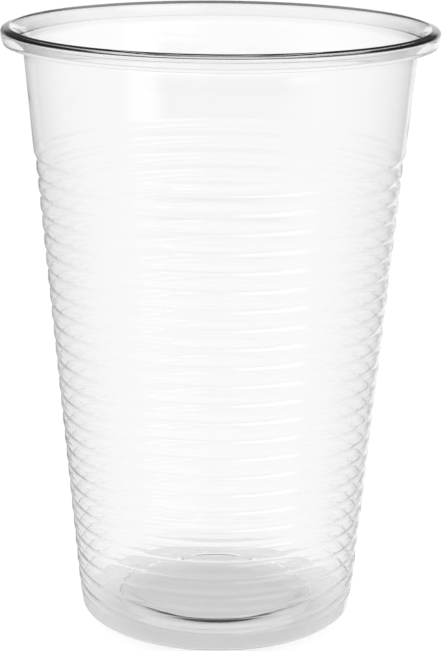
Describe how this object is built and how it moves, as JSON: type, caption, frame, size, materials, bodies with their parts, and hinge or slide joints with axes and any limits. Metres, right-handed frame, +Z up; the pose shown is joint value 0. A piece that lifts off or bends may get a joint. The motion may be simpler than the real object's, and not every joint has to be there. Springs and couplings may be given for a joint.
{
  "type": "disposable cup",
  "caption": "Tall clear plastic disposable drinking cup with a tapering ribbed wall, a rolled rim with a turned-down skirt, and a pushed-up base inside a flat foot ring.",
  "frame": {"origin": "centre of the foot ring, on the cup's axis, in the plane that the cup stands on", "axes": "+Z up along the cup's axis, from the foot to the open rim; X and Y are equal, because the cup is round"},
  "size_m": [0.07, 0.07, 0.0982],
  "materials": {
    "clear_plastic": "clear colourless polypropylene, glossy, thermoformed"
  },
  "bodies": {
    "root": {"cup": "clear_plastic"}
  },
  "joints": []
}
